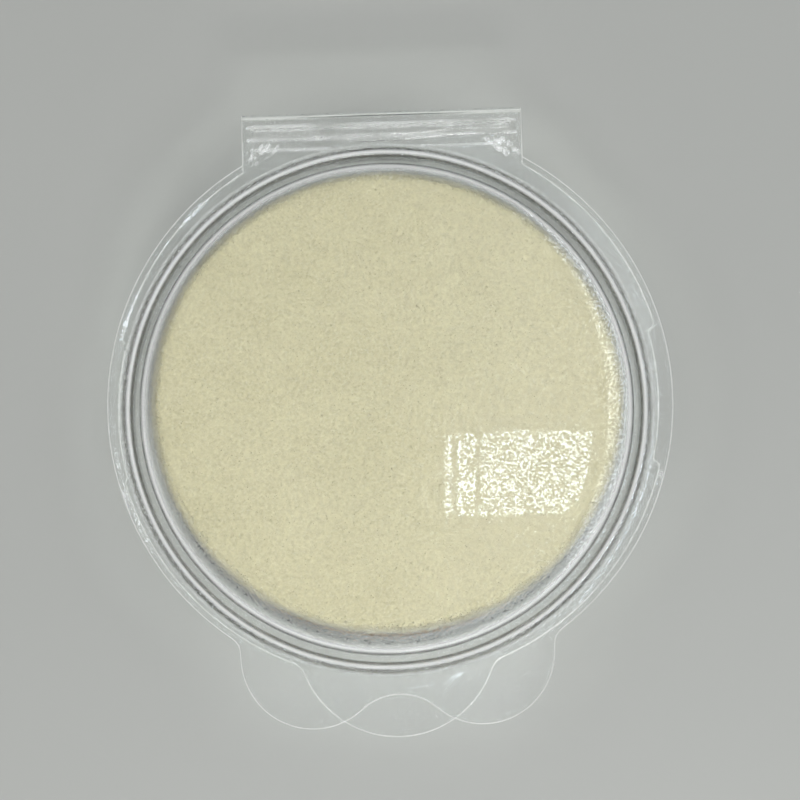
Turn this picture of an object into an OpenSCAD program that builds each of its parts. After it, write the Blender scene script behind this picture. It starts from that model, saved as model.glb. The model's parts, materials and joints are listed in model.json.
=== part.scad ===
// Hinged clear clamshell that holds a pressed powder refill: the metal pan, its powder cake and a velour puff.
// The tray, the fold and the lid are formed from one plastic sheet. The lid turns about the fold.
// Origin: centre of the tray's underside. +Z up, +Y toward the hinge, pull tabs toward -Y.

/* [Refill] */
// Outside diameter of the powder pan
pan_d = 59; // [52:0.5:59]
// Height of the powder pan
pan_h = 4.5; // [3.6:0.1:4.5]
// Thickness of the pan's metal
pan_t = 0.3; // [0.2:0.05:0.4]
// Depth of the pressed powder in the pan
cake_h = 3.2; // [1:0.1:3.2]
// Diameter of the puff
puff_d = 60; // [52:0.5:60]
// Thickness of the whole puff
puff_h = 4.6; // [3.6:0.1:4.6]
// Thickness of each velour face of the puff
pile_t = 0.8; // [0.5:0.1:1]

/* [Clamshell] */
// Thickness of the plastic sheet
sheet_t = 0.4; // [0.3:0.05:0.4]
// Inside radius of the tray's lower cup, which holds the pan
cup_r = 29.75; // [29.75:0.05:29.9]
// Height of the ledge around the cup, at its top face
ledge_z = 4.6; // [4:0.1:4.8]
// Inside radius of the tray's upper wall
wall_r = 33.4; // [33.35:0.05:33.4]
// Height of the tray's rim, at its top face
rim_z = 9.3; // [9.3:0.1:10]
// Radius of the tray's rim
tray_rim_r = 35.4; // [35.4:0.1:35.6]
// Radius of the lid's rim
lid_rim_r = 36.15; // [35.8:0.05:36.4]
// Outside radius of the lid's plug, which drops inside the tray's upper wall
plug_r = 32.9; // [32.8:0.05:32.9]
// Inside radius of the lid's channel, around the window
channel_r = 31.2; // [31.1:0.05:31.2]
// Depth of the channel below the lid's rim
channel_depth = 3.0; // [2.4:0.1:3]
// Rise of the window above the lid's rim
window_rise = 0.55; // [0.4:0.05:0.8]
// Radius of the corners where the sheet bends
bend_r = 0.5; // [0.45:0.01:0.5]

/* [Snap beads] */
// How far each bead stands out of the plug
bead_out = 0.35; // [0.2:0.05:0.35]
// Depth of the beads' middle below the top of the tray's rim
bead_depth = 1.7; // [1.5:0.1:1.8]

/* [Hinge] */
// Half the width of the hinge leaves
leaf_half_w = 18.1; // [15:0.1:19]
// Distance of the fold's axis from the centre
fold_y = 37.4; // [37.4:0.1:39]
// Radius of the fold
fold_r = 0.3; // [0.2:0.05:0.3]
// Distance of the stiffening rib from the centre
rib_y = 35.4; // [35.35:0.05:35.5]
// Outside radius of the half-round rib
rib_r = 1.0; // [0.8:0.05:1]

/* [Pull tabs] */
// Half the distance between the lobes of the lid's tab
lobe_x = 10.7; // [10.5:0.1:11]
// Distance of the lobes from the centre, along -Y
lobe_y = 31.95; // [31.4:0.05:32.2]
// Radius of the lobes
lobe_r = 9.2; // [9:0.1:9.4]
// Radius of the scallop between the lobes
scallop_r = 7.05; // [6.5:0.05:7.5]
// Radius of the tray's round tab
tab_r = 12.7; // [12:0.1:13]
// Distance of the tray's tab from the centre, along -Y
tab_y = 29.75; // [29.2:0.05:30.2]
// Radius of the inside corners where a tab meets its rim
neck_r = 2.5; // [1.5:0.1:3]
// Half the angle of the thumb notches at the sides of the tray's rim
notch_a = 14; // [10:0.5:16]
// Radius of the notches' outer corners
notch_corner_r = 1.0; // [0.8:0.1:1]

/* [Hidden] */

$fn = 96;
arc_steps = 4;
arc_deg = 4;                  // turn between two points of an outline's arc
leaf_gap = 0.05;              // between the two rims, and around the fold
half_t = sheet_t / 2;
pan_z = sheet_t;
puff_z = pan_z + pan_h + leaf_gap;
lid_z = rim_z + leaf_gap;     // underside of the lid's rim
axis_z = rim_z + leaf_gap / 2;
leaf_end_y = fold_y - fold_r - leaf_gap;
rim_root_r = wall_r + sheet_t + bend_r;        // where the rims' flat part starts
overlap = 0.1;                // how far a flat rim reaches into the bend that carries it
plug_draft = 0.15;            // how far the plug's wall leans in, top to bottom
pan_corner_r = 0.8;
puff_edge_r = 1.2;            // rounding of the puff's outer edges
bead_half_h = 0.6;
rib_end = 0.5;                // from the rib's end to the leaf's side
bead_z = rim_z - bead_depth;
bead_arcs = [[10.5, 67], [111.3, 149.8], [210.2, 248.7], [293, 349.5]];  // angles from the hinge
bulge_arcs = [[10.5, 129], [149.8, 210.2], [231, 349.5]];
groove_inset = 1;             // degrees by which each groove is shorter than its bulge at each end
notch_r = rim_root_r + overlap / 2;
notch_corner_a = notch_a + asin(notch_corner_r / (tray_rim_r - notch_corner_r));

clear_plastic = [0.86, 0.9, 0.88, 0.45];
metal = [0.78, 0.79, 0.8];
powder = [0.93, 0.84, 0.72];
cream = [0.93, 0.9, 0.76];

// Unit vector along v, the same turned a quarter turn to the left, and its angle from +X
function unit(v) = v / norm(v);
function left(v) = [-v[1], v[0]];
function bearing(v) = atan2(v[1], v[0]);

// Points of an arc of radius r that rounds the corner b of the path a-b-c
function corner(a, b, c, r) =
    let (u = unit(a - b), w = unit(c - b),
         half = acos(u * w) / 2,
         centre = b + unit(u + w) * r / sin(half),
         p = b + u * r / tan(half) - centre,
         q = b + w * r / tan(half) - centre,
         turn = atan2(p[0] * q[1] - p[1] * q[0], p * q))
    [for (i = [0 : arc_steps])
        let (s = turn * i / arc_steps)
        centre + [p[0] * cos(s) - p[1] * sin(s), p[0] * sin(s) + p[1] * cos(s)]];

// An open path with every inner corner rounded
function rounded(path, r) =
    concat([path[0]],
           [for (i = [1 : len(path) - 2]) each corner(path[i - 1], path[i], path[i + 1], r)],
           [path[len(path) - 1]]);

// Point i of the path moved sideways by d, square to the sheet
function beside(path, i, d) =
    let (last = len(path) - 1,
         a = left(unit(path[max(i, 1)] - path[max(i, 1) - 1])),
         b = left(unit(path[min(i, last - 1) + 1] - path[min(i, last - 1)])))
    path[i] + d * (a + b) / (1 + a * b);

// Outline of a sheet of thickness t whose middle follows the path
function sheet(path, t) =
    concat([for (i = [0 : len(path) - 1]) beside(path, i, t / 2)],
           [for (i = [len(path) - 1 : -1 : 0]) beside(path, i, -t / 2)]);

// Centre of the circle of radius r that touches two circles from outside
function touching(c0, r0, c1, r1, r) =
    let (d = norm(c1 - c0), a = r0 + r, b = r1 + r,
         along = (a * a - b * b + d * d) / (2 * d),
         up = sqrt(a * a - along * along),
         u = unit(c1 - c0))
    c0 + u * along + left(u) * up;

// Points of an arc about c, from one angle to another
function arc(c, r, from, to) =
    let (n = ceil(abs(to - from) / arc_deg))
    [for (i = [0 : n]) c + r * [cos(from + (to - from) * i / n), sin(from + (to - from) * i / n)]];

// Centre of the small arc at the inside corner where a tab leaves the rim
function neck_centre(rim_r, tab, r) = touching([0, 0], rim_r, tab, r, neck_r);

// That arc, about c, from the rim to the tab
function neck(c, tab) =
    let (from = bearing(-c), to = bearing(tab - c))
    arc(c, neck_r, from, to > from ? to : to + 360);

// The +X half of a rim's outline, closed by its mirror image
function whole(half) =
    concat(half, [for (i = [len(half) - 1 : -1 : 0]) [-half[i][0], half[i][1]]]);

// The corner of a thumb notch above (side 1) or below (side -1) the X axis
function notch_corner(side, from, to) =
    arc((tray_rim_r - notch_corner_r) * [cos(notch_corner_a), side * sin(notch_corner_a)],
        notch_corner_r, from, to);

function tray_half() =
    let (tab = [0, -tab_y],
         c = neck_centre(tray_rim_r, tab, tab_r),
         a = bearing(c - tab))
    concat([[leaf_half_w, leaf_end_y]],
           arc([0, 0], tray_rim_r, acos(leaf_half_w / tray_rim_r), notch_corner_a),
           notch_corner(1, notch_corner_a, notch_a - 90),
           arc([0, 0], notch_r, notch_a, -notch_a),
           notch_corner(-1, 90 - notch_a, -notch_corner_a),
           arc([0, 0], tray_rim_r, -notch_corner_a, bearing(c)),
           neck(c, tab),
           arc(tab, tab_r, a, -90));

function lid_half() =
    let (lobe = [lobe_x, -lobe_y],
         c = neck_centre(lid_rim_r, lobe, lobe_r),
         scallop = [0, -lobe_y - sqrt(pow(lobe_r + scallop_r, 2) - lobe_x * lobe_x)])
    concat([[leaf_half_w, leaf_end_y]],
           arc([0, 0], lid_rim_r, acos(leaf_half_w / lid_rim_r), bearing(c)),
           neck(c, lobe),
           arc(lobe, lobe_r, bearing(c - lobe), bearing(scallop - lobe)),
           arc(scallop, scallop_r, bearing(lobe - scallop), 90));

// Both halves, left and right of the Y axis
module both_sides() {
    children();
    mirror([1, 0, 0]) children();
}

// A bead along a wall between two angles, counted from the hinge: it stands out from root_r to crest_r
module bead(root_r, crest_r, half_h, arc) {
    rise = crest_r - root_r;
    rotate([0, 0, 90 - arc[1]]) rotate_extrude(angle = arc[1] - arc[0]) translate([root_r, bead_z])
        polygon([[0, -half_h], [rise * 0.7, -half_h * 0.6], [rise, -half_h * 0.2],
                 [rise, half_h * 0.2], [rise * 0.7, half_h * 0.6], [0, half_h]]);
}

// The hollow half-round rib across a hinge leaf: the rod outside it, or the hollow inside
module rib_rod(z, inset) {
    reach = leaf_half_w - rib_end - inset;
    translate([-reach, rib_y, z])
        rotate([0, 90, 0]) cylinder(h = 2 * reach, r = rib_r - inset, $fn = 48);
}

// A flat rim of the sheet from z up, with a round hole for the form it joins
module rim(half, hole_r, z) {
    translate([0, 0, z]) linear_extrude(sheet_t) difference() {
        polygon(whole(half));
        circle(hole_r);
    }
}

module tray_form() {
    foot = cup_r + half_t;
    wall = wall_r + half_t;
    path = rounded([[0, half_t], [foot, half_t], [foot, ledge_z - half_t],
                    [wall, ledge_z - half_t], [wall, rim_z - half_t],
                    [rim_root_r, rim_z - half_t]], bend_r);
    rotate_extrude() polygon(sheet(path, sheet_t));
}

module lid_form() {
    plug = plug_r - half_t;
    inner = channel_r + half_t;
    top = lid_z + half_t;
    low = top - channel_depth;
    high = top + window_rise;
    path = rounded([[rim_root_r, top], [plug, top], [plug - plug_draft, low],
                    [inner, low], [inner, high], [0, high]], bend_r);
    rotate_extrude() polygon(sheet(path, sheet_t));
}

module base_shell() color(clear_plastic) difference() {
    union() {
        tray_form();
        rim(tray_half(), rim_root_r - overlap, rim_z - sheet_t);
        for (arc = bulge_arcs) bead(wall_r + half_t, wall_r + sheet_t + bead_out, 1.5 * bead_half_h, arc);
        intersection() {
            rib_rod(rim_z, 0);
            translate([0, rib_y, rim_z - rib_r]) cube([2 * leaf_half_w, 3 * rib_r, 2 * rib_r], center = true);
        }
    }
    rib_rod(rim_z, sheet_t);
    for (arc = bulge_arcs)
        bead(wall_r - half_t, wall_r + bead_out, bead_half_h, arc + [groove_inset, -groove_inset]);
}

module lid_shell() color(clear_plastic) {
    difference() {
        union() {
            lid_form();
            rim(lid_half(), rim_root_r - overlap, lid_z);
            intersection() {
                rib_rod(lid_z, 0);
                translate([0, rib_y, lid_z + rib_r]) cube([2 * leaf_half_w, 3 * rib_r, 2 * rib_r], center = true);
            }
        }
        rib_rod(lid_z, sheet_t);
    }
    for (arc = bead_arcs) bead(plug_r - half_t, plug_r + bead_out, bead_half_h, arc);
}

// The bent strip of sheet at the fold, with a web that joins it to the tray's leaf
module hinge_fold() color(clear_plastic) {
    translate([-leaf_half_w, fold_y, axis_z])
        rotate([0, 90, 0]) cylinder(h = 2 * leaf_half_w, r = fold_r, $fn = 32);
    translate([-leaf_half_w, leaf_end_y, axis_z - fold_r])
        cube([2 * leaf_half_w, fold_y - leaf_end_y, fold_r - leaf_gap]);
}

module powder_pan() color(metal) {
    side = (pan_d - pan_t) / 2;
    path = rounded([[0, pan_z + pan_t / 2], [side, pan_z + pan_t / 2], [side, pan_z + pan_h]],
                   pan_corner_r);
    rotate_extrude() polygon(sheet(path, pan_t));
}

module pressed_cake() color(powder) {
    r = pan_d / 2 - pan_t;
    z = pan_z + pan_t;
    edge = 0.4;
    rotate_extrude() polygon([[0, z], [r - pan_corner_r, z], [r, z + pan_corner_r],
                              [r, z + cake_h - edge], [r - edge, z + cake_h], [0, z + cake_h]]);
}

// A disc of the puff from z up, with its outer edge rounded at the top or the bottom
module puff_disc(z, h, round_top) {
    r = puff_d / 2;
    e = min(puff_edge_r, h);
    flat = [r, round_top ? z : z + h];
    face = round_top ? z + h : z;
    path = rounded([[0, face], [r, face], flat], e * 0.99);
    rotate_extrude() polygon(concat(path, [[0, flat[1]]]));
}

module puff_face_bottom() color(cream) puff_disc(puff_z, pile_t, false);

module puff_foam_core() color(cream)
    translate([0, 0, puff_z + pile_t]) cylinder(h = puff_h - 2 * pile_t, d = puff_d);

module puff_face_top() color(cream) puff_disc(puff_z + puff_h - pile_t, pile_t, true);

base_shell();
lid_shell();
hinge_fold();
powder_pan();
pressed_cake();
puff_face_bottom();
puff_foam_core();
puff_face_top();
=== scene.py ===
"""Looks of a pressed powder refill: a clear formed clamshell with a hinged lid, and the pan, the powder cake
and the velour puff that it holds. Lengths in the helpers are in millimetres until they reach a mesh."""

import json
import math

import bmesh
import bpy
import numpy as np
from mathutils import Matrix, Vector


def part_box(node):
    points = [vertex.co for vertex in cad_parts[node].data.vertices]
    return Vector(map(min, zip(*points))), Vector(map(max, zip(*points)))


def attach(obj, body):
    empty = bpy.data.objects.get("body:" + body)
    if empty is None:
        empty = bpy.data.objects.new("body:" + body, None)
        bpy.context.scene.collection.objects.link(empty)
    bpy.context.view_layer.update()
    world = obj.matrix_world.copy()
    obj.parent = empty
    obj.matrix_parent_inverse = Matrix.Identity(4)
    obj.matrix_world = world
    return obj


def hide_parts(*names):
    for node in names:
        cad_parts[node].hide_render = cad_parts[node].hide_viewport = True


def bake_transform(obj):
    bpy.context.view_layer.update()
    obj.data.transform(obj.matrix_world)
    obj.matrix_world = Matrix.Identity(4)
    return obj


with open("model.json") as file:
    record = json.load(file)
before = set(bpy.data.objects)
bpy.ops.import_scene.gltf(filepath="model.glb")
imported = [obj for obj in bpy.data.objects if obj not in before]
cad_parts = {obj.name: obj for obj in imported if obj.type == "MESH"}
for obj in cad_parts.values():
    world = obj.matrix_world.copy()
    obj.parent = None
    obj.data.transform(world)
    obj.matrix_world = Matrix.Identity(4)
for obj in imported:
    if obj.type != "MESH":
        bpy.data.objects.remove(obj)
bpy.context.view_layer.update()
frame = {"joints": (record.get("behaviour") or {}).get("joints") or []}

MM = 0.001


def box_mm(node):
    """Lowest and highest corner of a CAD node, in millimetres."""
    low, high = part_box(node)
    return np.array(low) / MM, np.array(high) / MM


# Sizes that the frame gives
TRAY_LOW, TRAY_HIGH = box_mm("base_shell")
LID_HIGH = box_mm("lid_shell")[1]
PAN_LOW, PAN_HIGH = box_mm("powder_pan")
CAKE_LOW, CAKE_HIGH = box_mm("pressed_cake")
CORE_LOW, CORE_HIGH = box_mm("puff_foam_core")
PUFF_TOP = box_mm("puff_face_top")[1][2]
PUFF_BOTTOM = box_mm("puff_face_bottom")[0][2]
HINGE = np.array(frame["joints"][0]["pos_m"]) / MM
SHEET_T = PAN_LOW[2] - TRAY_LOW[2]
RIM_Z = TRAY_HIGH[2]
LID_Z = 2 * HINGE[2] - RIM_Z
LID_RIM_R = LID_HIGH[0]
LEAF_HALF_W = box_mm("hinge_fold")[1][0]
PUFF_R = CORE_HIGH[0]
PAN_R = PAN_HIGH[0]

# Sizes of the form inside those boxes
CUP_R = 29.75
LEDGE_Z = 4.6
WALL_R = 33.4
PLUG_R = 32.9
CHANNEL_R = 31.2
CHANNEL_DEPTH = 3.0
WINDOW_RISE = 0.55
PLUG_DRAFT = 0.15
BEND_R = 0.5
RIM_ROOT_R = WALL_R + SHEET_T + BEND_R
TRAY_RIM_R = 35.4
NOTCH_A = 14.0
NOTCH_CORNER_R = 1.0
LOBE = np.array([10.7, -31.95])
LOBE_R = 9.2
SCALLOP_R = 7.05
TAB_R = 12.7
TAB = np.array([0.0, TRAY_LOW[1] + TAB_R])
NECK_R = 2.5
BEAD_Z = RIM_Z - 1.7
BEAD_OUT = 0.35
BEAD_HALF_H = 0.75
BEAD_HIGHLIGHT = 0.4             # strength of the pale highlight painted along a bead's outline
BEAD_ARCS = [(10.5, 67.0), (111.3, 149.8)]      # degrees from the hinge, on both sides
BULGE_ARCS = [(10.5, 129.0), (149.8, 180.0)]
RIB_Y = 35.4
RIB_HALF_W = 1.15
RIB_H = 0.85
RIB_END_X = LEAF_HALF_W - 0.7
CUT_ROUND = 0.13
RIM_CLEAR = 0.08            # the cut edge stays at least this far outside the bend at the form's foot
RIM_FADE = 2.0              # the rims' unevenness comes in over this width
AXIS_R = 0.6                # radius of the small fan of faces that closes a formed part on its axis
LEAF_GAP = 0.03             # the leaf ends this far short of the hinge line, where the fold starts
FOLD_LAP = 0.025            # the fold's straight ends reach this far over the leaves
FOLD_ROWS, FOLD_COLUMNS = 13, 60

# The leaf's bend line, creases and ripples, and the rims' ripples below the thumb notches
BEND_LINE_Y = 33.2
LEAF_STEP_Y = 32.9
LEAF_STEP = 0.1
FAN_X, FAN_Y = 15.6, 32.8
FAN_REACH = (3.2, 1.5)
FAN_PITCH = 0.7
FAN_SKEW = 0.35
DENT_X, DENT_Y = 16.6, 32.9
RIDGE_X, RIDGE_Y = 17.3, 33.6
NOTCH_RIPPLE_X, NOTCH_RIPPLE_Y = 34.0, -12.2
NOTCH_RIPPLE_REACH = (1.7, 4.0)

# The raised middle of the lid's window
WINDOW_FINE_R = 26.0        # rows are close together outside this radius
WINDOW_FALL_R = 26.2
WINDOW_FALL_W = 4.4
WINDOW_CROWN = 0.14

# Painted highlights along the bends, and the form's offset
RING_HIGHLIGHT_HALF_W = 0.3
FORM_SHIFT = np.array([-0.45, -0.55])      # the sheet was cut a little off the centre of its formed part

# The puff and its pile
PUFF_SHIFT = np.array([-0.36, 0.34])
PUFF_OVAL = 0.98
PUFF_INSET = 0.12           # the cut edge stays this far inside the CAD solid
PUFF_EDGE_R = 1.0           # height of the rounding at each face
PILE_ROOT = 0.05
FACE_FIBRES = 24000
EDGE_FIBRES = 26000
LINT_FIBRES = 150

rng = np.random.default_rng(7)


# ---------------------------------------------------------------- outlines and paths


def unit(v):
    return v / np.linalg.norm(v)


def smooth_step(x):
    x = np.clip(x, 0.0, 1.0)
    return x * x * (3 - 2 * x)


def bell(d, half):
    """1 at d = 0, falling smoothly to 0 at d = half."""
    return 0.5 + 0.5 * np.cos(np.pi * np.clip(np.abs(d) / half, 0, 1))


def bearing(v):
    return math.degrees(math.atan2(v[1], v[0]))


def arc(centre, r, start, stop, step=1.0):
    """Points of an arc, by angles in degrees from +X."""
    n = max(2, int(math.ceil(abs(stop - start) / step)))
    a = np.radians(np.linspace(start, stop, n + 1))
    return np.c_[centre[0] + r * np.cos(a), centre[1] + r * np.sin(a)]


def touching(r0, c1, r1, r):
    """Centre of the circle of radius r that touches, from outside, a circle at the origin and one at c1."""
    d, a, b = np.linalg.norm(c1), r0 + r, r1 + r
    along = (a * a - b * b + d * d) / (2 * d)
    u = c1 / d
    return u * along + np.array([-u[1], u[0]]) * math.sqrt(a * a - along * along)


def rounded(path, r, steps=6):
    """An open path with every inner corner rounded to radius r."""
    path = np.array(path, float)
    out = [path[:1]]
    for a, b, c in zip(path, path[1:], path[2:]):
        u, w = unit(a - b), unit(c - b)
        half = math.acos(float(np.clip(u @ w, -1, 1))) / 2
        centre = b + unit(u + w) * r / math.sin(half)
        p, q = b + u * r / math.tan(half) - centre, b + w * r / math.tan(half) - centre
        turn = math.atan2(p[0] * q[1] - p[1] * q[0], p @ q)
        t = turn * np.linspace(0, 1, steps + 1)
        out.append(centre + np.c_[p[0] * np.cos(t) - p[1] * np.sin(t), p[0] * np.sin(t) + p[1] * np.cos(t)])
    out.append(path[-1:])
    return np.concatenate(out)


def filled(path, longest):
    """The path with points added so that no step is longer than longest."""
    out = [path[:1]]
    for a, b in zip(path, path[1:]):
        n = max(1, int(math.ceil(np.linalg.norm(b - a) / longest)))
        out.append(a + (b - a) * (np.arange(1, n + 1) / n)[:, None])
    return np.concatenate(out)


def tray_outline():
    """The +X half of the tray's rim outside the hinge leaf, from the hinge round to the tab's tip."""
    r = TRAY_RIM_R
    corner_a = NOTCH_A + math.degrees(math.asin(NOTCH_CORNER_R / (r - NOTCH_CORNER_R)))
    inner = r - NOTCH_CORNER_R
    slant = 0.4
    neck = touching(r, TAB, TAB_R, NECK_R)
    turn = bearing(TAB - neck)
    upper = inner * np.array([math.cos(math.radians(corner_a)), math.sin(math.radians(corner_a))])
    lower = upper * [1, -1]
    return np.concatenate([
        arc((0, 0), r, math.degrees(math.acos(LEAF_HALF_W / RIM_ROOT_R)) + 1, corner_a),
        arc(upper, NOTCH_CORNER_R, corner_a, NOTCH_A - 88, 8),
        arc((0, 0), RIM_ROOT_R + RIM_CLEAR, NOTCH_A - slant, slant - NOTCH_A),
        arc(lower, NOTCH_CORNER_R, 88 - NOTCH_A, -corner_a, 8),
        arc((0, 0), r, -corner_a, bearing(neck)),
        arc(neck, NECK_R, bearing(-neck), turn if turn > bearing(-neck) else turn + 360, 6),
        arc(TAB, TAB_R, bearing(neck - TAB), -90),
    ])


def lid_outline():
    """The +X half of the lid's rim outside the hinge leaf, from the hinge round to the scallop's middle."""
    r = LID_RIM_R
    neck = touching(r, LOBE, LOBE_R, NECK_R)
    turn = bearing(LOBE - neck)
    scallop = np.array([0, LOBE[1] - math.sqrt((LOBE_R + SCALLOP_R) ** 2 - LOBE[0] ** 2)])
    return np.concatenate([
        arc((0, 0), r, math.degrees(math.acos(LEAF_HALF_W / RIM_ROOT_R)) + 1, bearing(neck)),
        arc(neck, NECK_R, bearing(-neck), turn if turn > bearing(-neck) else turn + 360, 6),
        arc(LOBE, LOBE_R, bearing(neck - LOBE), bearing(scallop - LOBE)),
        arc(scallop, SCALLOP_R, bearing(LOBE - scallop), 90, 2),
    ])


# ---------------------------------------------------------------- meshes


def link(name, mesh):
    obj = bpy.data.objects.new(name, mesh)
    bpy.context.scene.collection.objects.link(obj)
    return obj


def mesh_object(name, points, faces, weld=0.0, sharp=40.0, haze=None):
    """A smooth-shaded object from points in millimetres, welded within weld millimetres."""
    mesh = bpy.data.meshes.new(name)
    mesh.from_pydata((np.asarray(points) * MM).tolist(), [], faces)
    if haze is not None:
        # highlights painted into the clear sheet are kept as a point attribute
        mesh.attributes.new("haze", "FLOAT", "POINT").data.foreach_set("value", haze.astype(np.float32))
    if weld:
        bm = bmesh.new()
        bm.from_mesh(mesh)
        bmesh.ops.remove_doubles(bm, verts=bm.verts, dist=weld * MM)
        bmesh.ops.recalc_face_normals(bm, faces=bm.faces)
        bm.to_mesh(mesh)
        bm.free()
    mesh.shade_smooth()
    mesh.set_sharp_from_angle(angle=math.radians(sharp))
    return link(name, mesh)


def grid_faces(rows, cols, start, closed):
    """Quads of a grid whose first vertex is start."""
    last = cols if closed else cols - 1
    i, j = np.meshgrid(np.arange(rows - 1), np.arange(last), indexing="ij")
    i, j = i.ravel(), j.ravel()
    k = (j + 1) % cols
    quads = np.c_[i * cols + j, i * cols + k, (i + 1) * cols + k, (i + 1) * cols + j] + start
    return quads.tolist()


class Surface:
    """Points and faces of a surface made of patches."""

    def __init__(self):
        self.points, self.faces, self.haze, self.count = [], [], [], 0

    def grid(self, points, closed=False, haze=0.0):
        rows, cols = points.shape[:2]
        self.haze.append(np.broadcast_to(haze, (rows, cols)).ravel())
        self.faces += grid_faces(rows, cols, self.count, closed)
        self.points.append(points.reshape(-1, 3))
        self.count += rows * cols

    def cap(self, centre, ring):
        """A fan from a centre point to a ring of points."""
        n = len(ring)
        self.faces += [[self.count, self.count + 1 + (j + 1) % n, self.count + 1 + j] for j in range(n)]
        self.points.append(np.concatenate([[centre], ring]))
        self.haze.append(np.zeros(n + 1))
        self.count += n + 1

    def made(self, name, **options):
        haze = np.concatenate(self.haze)
        return mesh_object(name, np.concatenate(self.points), self.faces, haze=haze, **options)


def thickened(obj, thickness, materials):
    """Turns an open surface into a closed sheet of even thickness about it, whose cut edge is rounded and
    takes the second material."""
    for material in materials:
        obj.data.materials.append(material)
    solid = obj.modifiers.new("sheet", "SOLIDIFY")
    solid.thickness = thickness * MM
    solid.offset = 0
    solid.use_quality_normals = True
    solid.material_offset_rim = 1
    bevel = obj.modifiers.new("cut_edge", "BEVEL")
    bevel.width = CUT_ROUND * MM
    bevel.segments = 2
    bevel.material = 1
    bevel.limit_method = "ANGLE"
    bevel.angle_limit = math.radians(60)
    bevel.use_clamp_overlap = False
    graph = bpy.context.evaluated_depsgraph_get()
    mesh = bpy.data.meshes.new_from_object(obj.evaluated_get(graph), depsgraph=graph)
    obj.modifiers.clear()
    obj.data = mesh
    mesh.shade_smooth()
    mesh.set_sharp_from_angle(angle=math.radians(40))
    return obj


def waves(x, y, shortest, longest, count, seed):
    """A smooth random surface, about 1 high, from cosines of the given wavelengths."""
    r = np.random.default_rng(seed)
    z = np.zeros(np.broadcast(x, y).shape)
    for _ in range(count):
        k = 2 * np.pi / r.uniform(shortest, longest)
        a, phase = r.uniform(0, 2 * np.pi, 2)
        z = z + np.cos(k * (x * np.cos(a) + y * np.sin(a)) + phase)
    return z / math.sqrt(count)


# ---------------------------------------------------------------- the clear sheet


def column_angles(notched):
    """Angles from the hinge at which the sheet has columns, in degrees, and those of them on the +X side."""
    leaf = math.degrees(math.asin(LEAF_HALF_W / RIM_ROOT_R))
    middle, near_notch = 27.0, 2.6
    half = [np.linspace(0, middle, 37), np.linspace(middle, leaf, 22), np.linspace(leaf, 180, 190)]
    for notch_side in (90 - NOTCH_A, 90 + NOTCH_A) if notched else ():
        half.append(np.linspace(notch_side - near_notch, notch_side + near_notch, 27))
    half = np.unique(np.round(np.concatenate(half), 4))
    half[np.argmin(np.abs(half - leaf))] = leaf
    return np.concatenate([half, 360 - half[-2:0:-1]]), half, leaf


def from_hinge(angles):
    """Sine and cosine rows that place an angle from the hinge in the plan."""
    a = np.radians(angles)
    return np.sin(a), np.cos(a)


def capsule(angle, z, arcs, radius, half_h):
    """1 along the middle of beads that follow the wall between two angles, 0 outside their round ends."""
    folded = np.where(angle > 180, 360 - angle, angle)
    height = np.zeros(np.broadcast(angle, z).shape)
    for low, high in arcs:
        beyond = np.maximum(low - folded, 0) + np.maximum(folded - high, 0)
        d = np.hypot(np.radians(beyond) * radius, z - BEAD_Z)
        height = np.maximum(height, smooth_step(1.25 * (1 - d / half_h)))
    return height


def formed_part(surface, path, angles, reach, arcs, wall_r, flat_wave, haze_rings):
    """The round, formed part of a shell: the path turned about Z, with beads pressed out of its wall.
    Each highlight ring is a radius, a strength and the lowest height of a bend along which a pale highlight is
    painted into the sheet."""
    sin, cos = from_hinge(angles)
    r = path[:, :1] + 0 * sin
    z = path[:, 1:] + 0 * sin
    on_wall = bell(path[:, :1] - wall_r, 0.75) > 0.3
    bead = on_wall * capsule(angles[None, :], z, arcs, wall_r, BEAD_HALF_H)
    r = r + reach * bead
    x, y = r * sin, r * cos
    z = z + flat_wave(x, y, path[:, :1])
    points = np.stack([x + FORM_SHIFT[0], y + FORM_SHIFT[1], z], axis=-1)
    # painted highlights: pale rings on the bends and pale lines along the beads' outlines
    haze = sum(strength * bell(path[:, :1] - ring, RING_HIGHLIGHT_HALF_W) * (path[:, 1:] > low)
               for ring, strength, low in haze_rings)
    surface.grid(points, closed=True, haze=haze + BEAD_HIGHLIGHT * bell(bead - 0.5, 0.4))
    surface.cap([*FORM_SHIFT, z[0].mean()], points[0])


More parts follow.
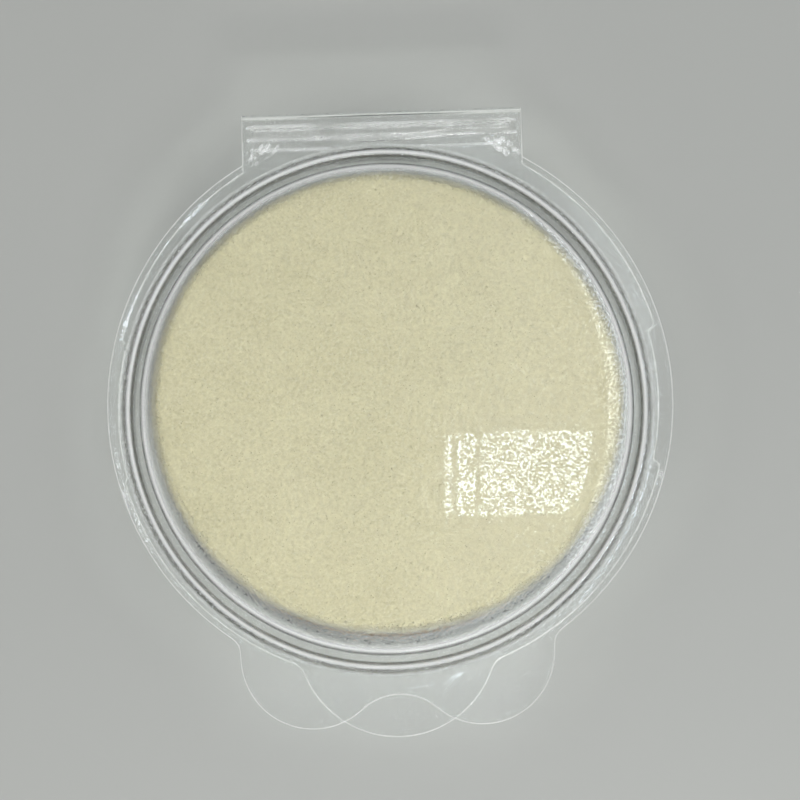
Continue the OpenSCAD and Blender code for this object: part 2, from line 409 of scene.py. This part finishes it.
def rim_part(surface, rim_r, outline, columns, z, leaf_shape, rim_wave, painted_glints=0.0, rows=10, leaf_rows=28):
    """The flat rim from the form out to the cut edge, with its tabs, and the hinge leaf."""
    _, half_angles, leaf_a = columns
    share = np.linspace(0, 1, rows + 1)[:, None]
    shift_x, shift_y = FORM_SHIFT[0] * (1 - share), FORM_SHIFT[1] * (1 - share)
    polar = np.degrees(np.arctan2(outline[:, 0], outline[:, 1]))
    angles = half_angles[half_angles >= leaf_a - 1e-6]
    angles = np.concatenate([angles, 360 - angles[-2::-1]])
    folded = np.where(angles > 180, 360 - angles, angles)
    sin, cos = from_hinge(angles)
    reach = np.interp(folded, polar, np.linalg.norm(outline, axis=1))
    reach = np.maximum(reach, RIM_ROOT_R + RIM_CLEAR + FORM_SHIFT[0] * sin + FORM_SHIFT[1] * cos)
    r = RIM_ROOT_R + (reach - RIM_ROOT_R) * share
    ring_wave = rim_wave(r * sin, r * cos, (r - RIM_ROOT_R) / RIM_FADE)
    # painted glints on the ripple crests below the thumb notches
    rim_haze = painted_glints * notch_painted_glints(r * sin, r * cos)
    surface.grid(np.stack([r * sin + shift_x, r * cos + shift_y, z + ring_wave], axis=-1), haze=rim_haze)

    inner = half_angles[half_angles <= leaf_a + 1e-6]
    x = RIM_ROOT_R * from_hinge(np.concatenate([-inner[:0:-1], inner]))[0]
    root_y, rim_y = np.sqrt(RIM_ROOT_R**2 - x * x), np.sqrt(rim_r**2 - x * x)
    end_y = HINGE[1] - LEAF_GAP
    lower = root_y + (rim_y - root_y) * share
    upper = rim_y + (end_y - rim_y) * np.linspace(0, 1, leaf_rows + 1)[1:, None]
    y = np.concatenate([lower, upper])
    x = x + 0 * y
    far = np.clip((np.hypot(x, y) - RIM_ROOT_R) / RIM_FADE, 0, 1)
    leaf_z = z + (leaf_shape(x, y) + rim_wave(x, y, far)) * smooth_step(4 * far)
    x[:rows + 1] += shift_x
    y[:rows + 1] += shift_y
    # painted highlights on the hinge leaf
    surface.grid(np.stack([x, y, leaf_z], axis=-1), haze=leaf_haze(x, y))

    for side in (1, -1):
        root = np.array([side * LEAF_HALF_W, math.sqrt(RIM_ROOT_R**2 - LEAF_HALF_W**2)])
        start = math.degrees(math.asin(LEAF_HALF_W / rim_r))
        sin, cos = from_hinge(np.linspace(start, leaf_a, 6))
        wx = root[0] + (side * rim_r * sin - root[0]) * share
        wy = root[1] + (rim_r * cos - root[1]) * share
        far = np.clip((np.hypot(wx, wy) - RIM_ROOT_R) / RIM_FADE, 0, 1)
        wedge_z = z + (leaf_shape(wx, wy) + rim_wave(wx, wy, far)) * smooth_step(4 * far)
        surface.grid(np.stack([wx + shift_x, wy + shift_y, wedge_z], axis=-1), haze=leaf_haze(wx, wy))


def rib(x, y):
    """The rounded rib across a hinge leaf, 1 along its crest."""
    beyond = np.maximum(np.abs(x) - (RIB_END_X - RIB_HALF_W), 0)
    return bell(np.hypot(beyond, y - RIB_Y), RIB_HALF_W)


def corner_fan(x, y):
    """The fan of small ripples where the leaf's ends meet the round rim, from -1 to 1."""
    side = np.abs(x)
    ripples = np.cos(2 * np.pi * (0.6 * side + 0.25 * y + 0.25 * waves(x, y, 1.2, 3, 6, 41)) / FAN_PITCH)
    across = (y - FAN_Y + FAN_SKEW * (side - FAN_X)) / FAN_REACH[1]
    return ripples * bell(np.hypot((side - FAN_X) / FAN_REACH[0], across), 1)


def leaf_haze(x, y):
    """Painted highlights along the rib's two flanks and the leaf's bend line, and painted glints on the corner
    ripples.
    """
    side = np.abs(x)
    patchy = np.clip(0.6 + 0.5 * waves(x, 3 * y, 1.5, 9, 12, 40), 0, 1)
    flanks = bell(np.abs(y - RIB_Y) - 0.8, 0.22) * (side < RIB_END_X)
    bend_line = bell(y - BEND_LINE_Y, 0.2) * (side < 17)
    painted_glints = np.clip(corner_fan(x, y) * waves(x, y, 0.6, 1.6, 10, 42), 0, 1)
    return np.clip(patchy * (0.36 * flanks + 0.3 * bend_line) + painted_glints, 0, 0.8)


def corner_creases(x, y):
    """Small dents where the leaf's ends meet the round rim."""
    side = np.abs(x)
    dent = bell(np.hypot((side - DENT_X) / 1.3, (y - DENT_Y) / 0.8), 1)
    ridge = bell(np.hypot((side - RIDGE_X + 0.6 * (y - 33.4)) / 0.5, (y - RIDGE_Y) / 1.4), 1)
    return 0.16 * ridge - 0.14 * dent + 0.06 * corner_fan(x, y)


def notch_patch(x, y):
    """1 where the rims are rippled below the thumb notches."""
    along, across = NOTCH_RIPPLE_REACH[1], NOTCH_RIPPLE_REACH[0]
    return bell(np.hypot((np.abs(x) - NOTCH_RIPPLE_X) / across, (y - NOTCH_RIPPLE_Y) / along), 1)


def notch_painted_glints(x, y):
    """Painted glints on the crests of the ripples below the thumb notches."""
    return np.clip(1.5 * notch_patch(x, y) * waves(x, y, 0.9, 2.4, 10, 43) - 0.35, 0, 0.8)


def rim_ripples(x, y):
    """Ripples pressed into the rims below the thumb notches."""
    side = np.abs(x)
    ripples = np.cos(2 * np.pi * (y + 0.4 * side) / 1.3) + np.cos(2 * np.pi * (side - 0.3 * y) / 0.9)
    return 0.03 * notch_patch(x, y) * ripples


def leaf_step(y):
    """The leaf stands a little proud of the rim beyond its bend line."""
    return LEAF_STEP * smooth_step((y - LEAF_STEP_Y) / 0.5)


def lid_surface(materials):
    half = SHEET_T / 2
    top = LID_Z + half
    high, low = top + WINDOW_RISE, top - CHANNEL_DEPTH
    path = rounded([(AXIS_R, high), (CHANNEL_R + half, high), (CHANNEL_R + half, low),
                    (PLUG_R - half - PLUG_DRAFT, low), (PLUG_R - half, top), (RIM_ROOT_R, top)], BEND_R)
    rest = filled(path[1:], 0.32)
    fine_from = [WINDOW_FINE_R, high]
    path = np.concatenate([filled(np.array([path[0], fine_from]), 2.2),
                           filled(np.array([fine_from, path[1]]), 0.5)[1:], rest[1:]])
    surface, columns = Surface(), column_angles(False)

    def window_wave(x, y, r):
        sink = 0.003 * waves(x, y, 18, 40, 9, 3) + 0.0004 * waves(x, y, 3.5, 8, 14, 4)
        crown = WINDOW_CROWN * (1 - np.clip((r - WINDOW_FALL_R) / WINDOW_FALL_W, 0, 1) ** 2.5)
        return sink * smooth_step((CHANNEL_R - 1.2 - r) / 3) + crown

    def rim_wave(x, y, far):
        lift = 0.1 * (1 + waves(x, y, 22, 50, 7, 5)) + 0.015 * waves(x, y, 5, 10, 9, 6) + rim_ripples(x, y)
        return lift * smooth_step(far) * smooth_step((34 - y) / 8)

    def leaf_shape(x, y):
        return RIB_H * rib(x, y) + leaf_step(y) * 0.6 + corner_creases(x, y)

    # painted highlights on the rim bend and the window bend
    haze_rings = [(PLUG_R + 0.18, 0.62, top - 0.35), (CHANNEL_R - 0.15, 0.62, high - 0.35)]
    formed_part(surface, path, columns[0], BEAD_OUT, BEAD_ARCS, PLUG_R - half, window_wave, haze_rings)
    rim_part(surface, LID_RIM_R, lid_outline(), columns, top, leaf_shape, rim_wave, painted_glints=1.0)
    return thickened(surface.made("lid_sheet", weld=0.002), SHEET_T, materials)


def tray_surface(materials):
    half = SHEET_T / 2
    cup, wall, rim = CUP_R + half, WALL_R + half, RIM_Z - half
    path = rounded([(AXIS_R, half), (cup, half), (cup, LEDGE_Z - half), (wall, LEDGE_Z - half),
                    (wall, rim), (RIM_ROOT_R, rim)], BEND_R)
    path = np.concatenate([filled(path[:2], 3.0), filled(path[1:], 0.4)[1:]])
    surface, columns = Surface(), column_angles(True)

    def floor_wave(x, y, r):
        return 0.02 * (1 + waves(x, y, 9, 25, 8, 8)) * smooth_step((CUP_R - 1.5 - r) / 3)

    def rim_wave(x, y, far):
        sag = -0.07 * (1 + waves(x, y, 20, 45, 7, 9)) - 0.012 * waves(x, y, 5, 9, 9, 10)
        return sag * smooth_step(far) * smooth_step((34 - y) / 8)

    def leaf_shape(x, y):
        return -RIB_H * rib(x, y) - leaf_step(y) * 0.6 - 0.8 * corner_creases(x, y)

    # faint painted highlights on the rim root and the cup bend
    haze_rings = [(RIM_ROOT_R - 0.2, 0.12, rim - 0.3), (CUP_R + 0.6, 0.15, LEDGE_Z - 0.4)]
    formed_part(surface, path, columns[0], BEAD_OUT, BULGE_ARCS, wall, floor_wave, haze_rings)
    rim_part(surface, TRAY_RIM_R, tray_outline(), columns, rim, leaf_shape, rim_wave)
    return thickened(surface.made("tray_sheet", weld=0.002), SHEET_T, materials)


def fold_surface(materials):
    """The strip of sheet bent round the hinge line, from the tray's leaf to the lid's."""
    turn = np.radians(np.linspace(-90, 90, FOLD_ROWS))
    r = (LID_Z - RIM_Z + SHEET_T) / 2
    y = np.concatenate([[-FOLD_LAP], r * np.cos(turn), [-FOLD_LAP]]) + HINGE[1]
    z = np.concatenate([[-r], r * np.sin(turn), [r]]) + HINGE[2]
    x = np.linspace(-LEAF_HALF_W, LEAF_HALF_W, FOLD_COLUMNS)
    points = np.stack([x + 0 * y[:, None], y[:, None] + 0 * x, z[:, None] + 0 * x], axis=-1)
    surface = Surface()
    surface.grid(points)
    return thickened(surface.made("fold_film"), SHEET_T, materials)


# ---------------------------------------------------------------- the pan, the cake and the puff


def lathe(name, path, columns, shift=(0, 0), oval=1.0, wobble=None):
    """A closed solid turned about Z. The path runs from the axis, out and back to the axis."""
    path = np.array(path, float)
    a = np.linspace(0, 2 * np.pi, columns, endpoint=False)
    inner = path[1:-1]
    x, y = inner[:, :1] * np.cos(a), inner[:, :1] * np.sin(a)
    z = inner[:, 1:] + 0 * a
    if wobble:
        x, y, z = wobble(x, y, z)
    points = np.stack([x + shift[0], y * oval + shift[1], z], axis=-1)
    surface = Surface()
    surface.grid(points, closed=True)
    surface.cap([*shift, path[0, 1]], points[0])
    surface.cap([*shift, path[-1, 1]], points[-1])
    return surface.made(name, weld=0.002)


def pan_piece():
    """The drawn metal pan: a flat bottom with a shallow stamped ring, and a straight wall up to a flat top
    edge.
    """
    z0, t, r = PAN_LOW[2], 0.3, PAN_R
    ring_r, ring_w, ring_h = 0.72 * r, 0.9, 0.18
    outer = rounded([(0.5, z0), (r, z0), (r, PAN_HIGH[2])], 0.9, 8)
    inner = rounded([(r - t, PAN_HIGH[2]), (r - t, z0 + t), (0.5, z0 + t)], 0.6, 8)
    outer = filled(outer, 0.35)
    outer[:, 1] += ring_h * bell(outer[:, 0] - ring_r, ring_w) * (outer[:, 0] < r - 1.5)
    path = np.concatenate([[[0, z0]], outer, inner, [[0, z0 + t]]])
    return lathe("pan_cup", path, 180, FORM_SHIFT)


def cake_piece():
    """The pressed powder, with a slightly crowned, fine-grained face and a crumbled edge."""
    r, low, high = CAKE_HIGH[0] - 0.02, CAKE_LOW[2] + 0.01, CAKE_HIGH[2]
    edge = rounded([(0.5, low), (r - 0.7, low), (r, low + 0.7), (r, high - 0.5), (0.5, high - 0.05)], 0.35, 5)
    path = np.concatenate([[[0, low]], filled(edge, 0.8), [[0, high - 0.05]]])

    def grain(x, y, z):
        top = z > high - 0.6
        return x, y, z - np.where(top, 0.03 * np.abs(waves(x, y, 0.9, 2.5, 24, 12)), 0)

    return lathe("powder_cake", path, 240, FORM_SHIFT, wobble=grain)


def puff_radius(z):
    """Radius of the puff's side at height z: full in the middle, rounded in at both faces."""
    e = PUFF_EDGE_R
    d = np.maximum(np.maximum(z - (PUFF_TOP - e), (PUFF_BOTTOM + e) - z), 0) / e
    return PUFF_R - PUFF_INSET - e * (1 - np.sqrt(np.clip(1 - d * d, 0, 1)))


def nap(x, y, z):
    """Small unevenness of the velour and a slightly irregular cut edge."""
    a = np.arctan2(y, x)
    r = np.hypot(x, y)
    edge = 0.06 * np.cos(3 * a + 1.0) + 0.05 * np.cos(7 * a + 0.4) + 0.035 * np.cos(19 * a + 2.0)
    grow = 1 + edge * (r / PUFF_R) ** 6 / PUFF_R
    lift = 0.012 * waves(x, y, 2.2, 6, 30, 20) + 0.012 * waves(x, y, 0.8, 1.6, 30, 21)
    crown = 0.12 * (1 - (r / PUFF_R) ** 2) - 0.06
    side = smooth_step((r - PUFF_R + 2) / 2)
    return x * grow, y * grow, z + (lift + crown * (z > CORE_HIGH[2] + 0.1)) * (1 - 0.7 * side)


def puff_face(name, low, high, step):
    """One velour face of the puff, between two heights."""
    z = np.linspace(low, high, 8)
    side = np.c_[puff_radius(z), z]
    if low == PUFF_BOTTOM:
        first = filled(np.array([[0.5, low], [side[0, 0], low]]), step)
        last = np.array([[side[-1, 0] - 0.4, high], [0.5, high]])
    else:
        first = np.array([[0.5, low], [side[0, 0] - 0.4, low]])
        last = filled(np.array([[side[-1, 0], high], [0.5, high]]), step)[1:]
    path = np.concatenate([[[0, low]], first, side, last, [[0, high]]])
    return lathe(name, path, 420, PUFF_SHIFT, PUFF_OVAL, nap if step < 1 else None)


def core_piece():
    z = np.linspace(CORE_LOW[2] + 0.01, CORE_HIGH[2] - 0.01, 12)
    side = np.c_[puff_radius(z) - 0.03, z]
    path = np.concatenate([[[0, z[0]]], [[0.5, z[0]]], side, [[0.5, z[-1]]], [[0, z[-1]]]])
    return lathe("puff_core", path, 420, PUFF_SHIFT, PUFF_OVAL)


def fibres(name, roots, ways, lengths, width):
    """Short tapered hairs, each a closed three-sided spike."""
    n = len(roots)
    roots = roots * [1, PUFF_OVAL, 1] + [*PUFF_SHIFT, 0]
    ways = ways / np.linalg.norm(ways, axis=1, keepdims=True)
    side = np.cross(ways, rng.normal(size=(n, 3)))
    side /= np.linalg.norm(side, axis=1, keepdims=True)
    other = np.cross(ways, side)
    corners = [
        roots + width[:, None] * (side * math.cos(t) + other * math.sin(t))
        for t in (0, 2 * math.pi / 3, 4 * math.pi / 3)
    ]
    tips = roots + ways * lengths[:, None]
    points = np.stack([*corners, tips], axis=1).reshape(-1, 3)
    base = 4 * np.arange(n)[:, None]
    faces = np.concatenate([base + f for f in ([0, 1, 3], [1, 2, 3], [2, 0, 3], [0, 2, 1])])
    return mesh_object(name, points, faces.tolist(), sharp=180)


def face_pile():
    """The pile on the puff's top face."""
    n = FACE_FIBRES
    r = (PUFF_R - 0.9) * np.sqrt(rng.random(n))
    a = rng.random(n) * 2 * np.pi
    x, y = r * np.cos(a), r * np.sin(a)
    _, _, z = nap(x, y, np.full(n, PUFF_TOP))
    lean = 0.55 * rng.normal(size=(n, 2)) + 0.12 * np.c_[waves(x, y, 6, 18, 8, 30), waves(x, y, 6, 18, 8, 31)]
    ways = np.c_[lean, np.full(n, 1.0)]
    lengths = rng.uniform(0.15, 0.36, n)
    return fibres("puff_pile_face", np.c_[x, y, z - PILE_ROOT], ways, lengths, rng.uniform(0.03, 0.07, n))


def edge_pile():
    """The longer pile that stands out all round the puff's side and its rounded top edge."""
    n = EDGE_FIBRES
    a = rng.random(n) * 2 * np.pi
    z = PUFF_BOTTOM + 0.3 + (PUFF_TOP - PUFF_BOTTOM - 0.32) * rng.random(n) ** 0.8
    r = puff_radius(z) - 0.04
    steep = np.clip((z - (PUFF_TOP - PUFF_EDGE_R)) / PUFF_EDGE_R, 0, 1) ** 1.3
    out = np.c_[np.cos(a), np.sin(a), 0 * a]
    ways = out * (1 - 0.8 * steep)[:, None] + [0, 0, 1] * steep[:, None] * 0.9
    ways = ways + 0.45 * rng.normal(size=(n, 3))
    lengths = rng.uniform(0.3, 0.85, n) * (1 - 0.5 * steep)
    roots = np.c_[r * np.cos(a), r * np.sin(a), z]
    return fibres("puff_pile_edge", roots, ways, lengths, rng.uniform(0.04, 0.08, n))


def lint():
    """A few dark hairs and crumbs caught in the pile."""
    n = LINT_FIBRES
    r = (PUFF_R - 1.5) * np.sqrt(rng.random(n))
    a = rng.random(n) * 2 * np.pi
    x, y = r * np.cos(a), r * np.sin(a)
    _, _, z = nap(x, y, np.full(n, PUFF_TOP))
    ways = np.c_[rng.normal(size=(n, 2)), 0.12 * rng.random(n)]
    lengths = np.where(rng.random(n) < 0.3, rng.uniform(0.3, 0.8, n), rng.uniform(0.08, 0.2, n))
    return fibres("puff_lint", np.c_[x, y, z + 0.12], ways, lengths, rng.uniform(0.02, 0.05, n))


# ---------------------------------------------------------------- materials


def new_material(name):
    material = bpy.data.materials.new(name)
    material.use_nodes = True
    nodes = material.node_tree.nodes
    return material, nodes, material.node_tree.links, nodes["Principled BSDF"]


def add(nodes, kind, **values):
    """A node with the given input values set by name."""
    node = nodes.new(kind)
    for key, value in values.items():
        node.inputs[key.replace("_", " ")].default_value = value
    return node


def noise(nodes, links, coords, scale, detail=3.0, rough=0.5):
    node = add(nodes, "ShaderNodeTexNoise", Scale=scale, Detail=detail, Roughness=rough)
    links.new(coords, node.inputs["Vector"])
    return node.outputs["Fac"]


def ramp(nodes, links, source, stops):
    node = nodes.new("ShaderNodeValToRGB")
    node.color_ramp.elements[0].position, node.color_ramp.elements[0].color = stops[0]
    node.color_ramp.elements[1].position, node.color_ramp.elements[1].color = stops[-1]
    for place, colour in stops[1:-1]:
        node.color_ramp.elements.new(place).color = colour
    links.new(source, node.inputs["Fac"])
    return node.outputs["Color"]


def bump(nodes, links, height, distance, strength=1.0, normal=None):
    node = add(nodes, "ShaderNodeBump", Strength=strength, Distance=distance)
    links.new(height, node.inputs["Height"])
    if normal:
        links.new(normal, node.inputs["Normal"])
    return node.outputs["Normal"]


def place(nodes):
    return nodes.new("ShaderNodeTexCoord").outputs["Object"]


def grey(v):
    return (v, v, v, 1)


def clear_material():
    """Clear formed plastic: smooth, with the faint grain and waviness of a drawn sheet, and made pale where
    the mesh paints highlights into it. It lets lamps through."""
    material, nodes, links, shader = new_material("clear_formed_plastic")
    coords = place(nodes)
    shader.inputs["Base Color"].default_value = (0.995, 1.0, 0.995, 1)
    shader.inputs["IOR"].default_value = 1.5
    cloud = noise(nodes, links, coords, scale=900, detail=4)
    tone = ramp(nodes, links, cloud, [(0.35, grey(0.0)), (0.75, grey(0.03))])
    links.new(tone, shader.inputs["Roughness"])
    grain = noise(nodes, links, coords, scale=3200, detail=2)
    pits = ramp(nodes, links, grain, [(0.48, grey(0)), (0.7, grey(1))])
    # painted highlights: the mesh attribute turns the sheet from clear to pale
    haze = nodes.new("ShaderNodeAttribute")
    haze.attribute_name = "haze"
    clear = ramp(nodes, links, haze.outputs["Fac"], [(0.0, grey(1)), (1.0, grey(0))])
    links.new(clear, shader.inputs["Transmission Weight"])
    drawn = noise(nodes, links, coords, scale=260, detail=1)
    fine = bump(nodes, links, pits, distance=3e-5)
    links.new(bump(nodes, links, drawn, distance=2.5e-6, normal=fine), shader.inputs["Normal"])
    through = add(nodes, "ShaderNodeBsdfTransparent", Color=(0.975, 0.98, 0.975, 1))
    path = nodes.new("ShaderNodeLightPath")
    mix = nodes.new("ShaderNodeMixShader")
    links.new(path.outputs["Is Shadow Ray"], mix.inputs["Fac"])
    links.new(shader.outputs["BSDF"], mix.inputs[1])
    links.new(through.outputs["BSDF"], mix.inputs[2])
    links.new(mix.outputs["Shader"], nodes["Material Output"].inputs["Surface"])
    return material


def cut_edge_material():
    """The sheet's cut edge: frosted by the die, so it catches the light as a pale line."""
    material, nodes, links, shader = new_material("frosted_cut_edge")
    tone = noise(nodes, links, place(nodes), scale=1200, detail=3)
    colour = ramp(nodes, links, tone, [(0.35, (0.88, 0.9, 0.87, 1)), (0.65, (0.97, 0.98, 0.95, 1))])
    links.new(colour, shader.inputs["Base Color"])
    shader.inputs["Roughness"].default_value = 0.3
    shader.inputs["Transmission Weight"].default_value = 0.25
    return material


def velour_material(name, light, dark):
    """Short cream pile: soft, matt and a little uneven in tone."""
    material, nodes, links, shader = new_material(name)
    coords = place(nodes)
    cloud = noise(nodes, links, coords, scale=120, detail=4)
    grain = noise(nodes, links, coords, scale=3400, detail=3, rough=0.7)
    base = ramp(nodes, links, cloud, [(0.3, dark), (0.7, light)])
    tone = ramp(nodes, links, grain, [(0.35, grey(0.68)), (0.6, grey(1.0))])
    mix = nodes.new("ShaderNodeMix")
    mix.data_type, mix.blend_type = "RGBA", "MULTIPLY"
    mix.inputs["Factor"].default_value = 0.7
    links.new(base, mix.inputs["A"])
    links.new(tone, mix.inputs["B"])
    links.new(mix.outputs["Result"], shader.inputs["Base Color"])
    rough = ramp(nodes, links, grain, [(0.2, grey(0.85)), (0.8, grey(1.0))])
    links.new(rough, shader.inputs["Roughness"])
    shader.inputs["Specular IOR Level"].default_value = 0.15
    shader.inputs["Sheen Weight"].default_value = 0.15
    shader.inputs["Sheen Roughness"].default_value = 0.6
    links.new(bump(nodes, links, grain, distance=1e-4, strength=0.7), shader.inputs["Normal"])
    return material


def lint_material():
    material, nodes, links, shader = new_material("dark_lint")
    tone = noise(nodes, links, place(nodes), scale=500, detail=2)
    colour = ramp(nodes, links, tone, [(0.3, (0.10, 0.08, 0.06, 1)), (0.7, (0.3, 0.25, 0.18, 1))])
    links.new(colour, shader.inputs["Base Color"])
    shader.inputs["Roughness"].default_value = 0.9
    return material


def metal_material():
    """Drawn aluminium: turned marks round the axis, and small handling scratches."""
    material, nodes, links, shader = new_material("drawn_aluminium")
    coords = place(nodes)
    split = nodes.new("ShaderNodeSeparateXYZ")
    links.new(coords, split.inputs["Vector"])
    length = nodes.new("ShaderNodeVectorMath")
    length.operation = "LENGTH"
    links.new(coords, length.inputs[0])
    spread = nodes.new("ShaderNodeCombineXYZ")
    links.new(length.outputs["Value"], spread.inputs["X"])
    turned = noise(nodes, links, spread.outputs["Vector"], scale=9000, detail=2)
    marks = noise(nodes, links, coords, scale=300, detail=5)
    shader.inputs["Metallic"].default_value = 1.0
    colour = ramp(nodes, links, marks, [(0.3, (0.66, 0.66, 0.67, 1)), (0.7, (0.8, 0.8, 0.8, 1))])
    links.new(colour, shader.inputs["Base Color"])
    rough = ramp(nodes, links, marks, [(0.3, grey(0.28)), (0.75, grey(0.42))])
    links.new(rough, shader.inputs["Roughness"])
    links.new(bump(nodes, links, turned, distance=2e-5, strength=0.6), shader.inputs["Normal"])
    return material


def powder_material():
    """Pressed powder: matt, fine grained, with faint mottling."""
    material, nodes, links, shader = new_material("pressed_powder")
    coords = place(nodes)
    cloud = noise(nodes, links, coords, scale=200, detail=5)
    grain = noise(nodes, links, coords, scale=4000, detail=3, rough=0.8)
    colour = ramp(nodes, links, cloud, [(0.3, (0.68, 0.47, 0.32, 1)), (0.7, (0.76, 0.55, 0.39, 1))])
    links.new(colour, shader.inputs["Base Color"])
    rough = ramp(nodes, links, grain, [(0.2, grey(0.8)), (0.8, grey(0.95))])
    links.new(rough, shader.inputs["Roughness"])
    links.new(bump(nodes, links, grain, distance=8e-5, strength=0.7), shader.inputs["Normal"])
    return material


def floor_material():
    material, nodes, links, shader = new_material("pale_floor")
    cloud = noise(nodes, links, place(nodes), scale=6, detail=3)
    colour = ramp(nodes, links, cloud, [(0.3, (0.555, 0.565, 0.54, 1)), (0.7, (0.58, 0.59, 0.565, 1))])
    links.new(colour, shader.inputs["Base Color"])
    shader.inputs["Roughness"].default_value = 0.85
    shader.inputs["Specular IOR Level"].default_value = 0.1
    return material


# ---------------------------------------------------------------- camera, light and floor


CAMERA = {"azimuth": 3.31, "elevation": 84.24, "roll": -5.12, "distance": 320.0,
          "lens": 112.8, "shift": (0.0126, 0.0027)}


# Lamps: name, place in metres, size in metres, power in watts and colour. The panes face straight down.
SOFTBOXES = [
    ("softbox_left", (-0.48, -0.05, 0.5), (0.14, 0.14), 0.37, (1, 0.98, 0.95)),
    ("softbox_right", (0.42, 0.2, 0.5), (0.14, 0.14), 0.25, (0.96, 0.98, 1)),
    ("softbox_front", (0.05, -0.26, 0.22), (0.1, 0.07), 0.33, (1, 1, 1)),
    ("softbox_back", (-0.12, 0.55, 0.42), (0.3, 0.08), 0.2, (1, 1, 1)),
]
PANE_Z = 0.6
PANES = [
    ("window_pane", (0.0167, 0.0316), (0.0032, 0.029), 0.0032, (0.8, 0.9, 1)),
    ("window_pane", (0.0234, 0.0316), (0.0065, 0.029), 0.0092, (0.8, 0.9, 1)),
    ("window_pane", (0.0504, 0.0316), (0.0442, 0.029), 0.047, (0.8, 0.9, 1)),
    ("window_wall", (0.0486, 0.06), (0.067, 0.17), 0.018, (0.9, 0.97, 1)),
    ("window_side", (0.132, 0.06), (0.05, 0.36), 0.36, (0.92, 0.97, 1)),
]
FLOOR_HALF = 1500.0
FLOOR_Z = -0.05


def make_camera():
    """The photograph's viewpoint: almost overhead, a little toward the tabs."""
    az, el, roll = (math.radians(CAMERA[k]) for k in ("azimuth", "elevation", "roll"))
    toward = Vector((math.sin(az) * math.cos(el), -math.cos(az) * math.cos(el), math.sin(el)))
    aim = Vector((0, 0, LID_HIGH[2] - WINDOW_RISE)) * MM
    right = (-toward).cross(Vector((0, 0, 1))).normalized()
    up = right.cross(-toward)
    right, up = right * math.cos(roll) + up * math.sin(roll), up * math.cos(roll) - right * math.sin(roll)
    data = bpy.data.cameras.new("camera")
    data.lens = CAMERA["lens"]
    data.sensor_width = 36
    data.shift_x, data.shift_y = CAMERA["shift"]
    data.clip_start = 0.01
    camera = bpy.data.objects.new("camera", data)
    turn = Matrix((right, up, toward)).transposed().to_4x4()
    camera.matrix_world = Matrix.Translation(aim + toward * CAMERA["distance"] * MM) @ turn
    bpy.context.scene.collection.objects.link(camera)
    bpy.context.scene.camera = camera
    return camera


def area_light(name, location, aim, size, power, colour):
    """A rectangular lamp. Its place and size are in metres."""
    data = bpy.data.lights.new(name, "AREA")
    data.shape = "RECTANGLE"
    data.size, data.size_y = size
    data.energy = power
    data.color = colour
    lamp = bpy.data.objects.new(name, data)
    lamp.location = location
    lamp.rotation_euler = (Vector(location) - Vector(aim)).to_track_quat("Z", "Y").to_euler()
    bpy.context.scene.collection.objects.link(lamp)
    return lamp


def make_lights():
    """Small bright softboxes all round, and panes that mirror in the lid's window as a window and its wall."""
    for name, location, size, power, colour in SOFTBOXES:
        area_light(name, location, (0, 0, 0), size, power, colour)
    for name, (x, y), size, power, colour in PANES:
        area_light(name, (x, y, PANE_Z), (x, y, 0), size, power, colour)


def make_world():
    """A room that is bright round the horizon and dim overhead."""
    world = bpy.data.worlds.new("studio")
    world.use_nodes = True
    nodes, links = world.node_tree.nodes, world.node_tree.links
    split = nodes.new("ShaderNodeSeparateXYZ")
    links.new(nodes.new("ShaderNodeTexCoord").outputs["Generated"], split.inputs["Vector"])
    sky = ramp(nodes, links, split.outputs["Z"], [
        (0.0, (0.95, 1.0, 1.0, 1)), (0.4, grey(0.75)), (0.7, grey(0.42)), (0.9, grey(0.3)),
        (0.96, grey(0.07))])
    links.new(sky, nodes["Background"].inputs["Color"])
    nodes["Background"].inputs["Strength"].default_value = 0.8
    bpy.context.scene.world = world


def make_floor():
    h = FLOOR_HALF
    corners = np.array([[-h, -h, FLOOR_Z], [h, -h, FLOOR_Z], [h, h, FLOOR_Z], [-h, h, FLOOR_Z]])
    floor = mesh_object("floor", corners, [[0, 1, 2, 3]])
    floor.data.materials.append(floor_material())


# ---------------------------------------------------------------- assembly


def finish_piece(piece, material, body=None, nodes=()):
    """Gives a piece its material and its body, and hides the CAD nodes that it stands for."""
    if material:
        piece.data.materials.append(material)
    if body:
        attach(piece, body)
    if nodes:
        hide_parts(*nodes)
    return piece


def make_clamshell():
    sheet = [clear_material(), cut_edge_material()]
    finish_piece(tray_surface(sheet), None, "base", ["base_shell"])
    finish_piece(lid_surface(sheet), None, "lid", ["lid_shell"])
    fold = finish_piece(fold_surface(sheet), None, nodes=["hinge_fold"])
    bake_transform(fold)


def make_refill():
    finish_piece(pan_piece(), metal_material(), "base", ["powder_pan"])
    finish_piece(cake_piece(), powder_material(), "base", ["pressed_cake"])


def make_puff():
    velour = velour_material("cream_velour", (0.685, 0.64, 0.427, 1), (0.65, 0.605, 0.398, 1))
    foam = velour_material("cream_foam", (0.72, 0.67, 0.46, 1), (0.64, 0.59, 0.39, 1))
    # a lighter copy of the velour for the edge fibres: painted light on the rounded edge, which is lit less,
    # on fibres that are also really paler
    pile = velour_material("cream_pile_lit", (0.92, 0.89, 0.72, 1), (0.87, 0.84, 0.66, 1))
    top = puff_face("puff_face_upper", CORE_HIGH[2], PUFF_TOP, 0.42)
    under = puff_face("puff_face_lower", PUFF_BOTTOM, CORE_LOW[2], 2.0)
    core = core_piece()
    finish_piece(top, velour, "base", ["puff_face_top"])
    finish_piece(under, velour, "base", ["puff_face_bottom"])
    finish_piece(core, foam, "base", ["puff_foam_core"])
    finish_piece(face_pile(), velour, "base")
    finish_piece(edge_pile(), pile, "base")
    finish_piece(lint(), lint_material(), "base")


make_camera()
make_lights()
make_world()
make_floor()
make_clamshell()
make_refill()
make_puff()
bpy.context.scene.view_settings.view_transform = "Standard"
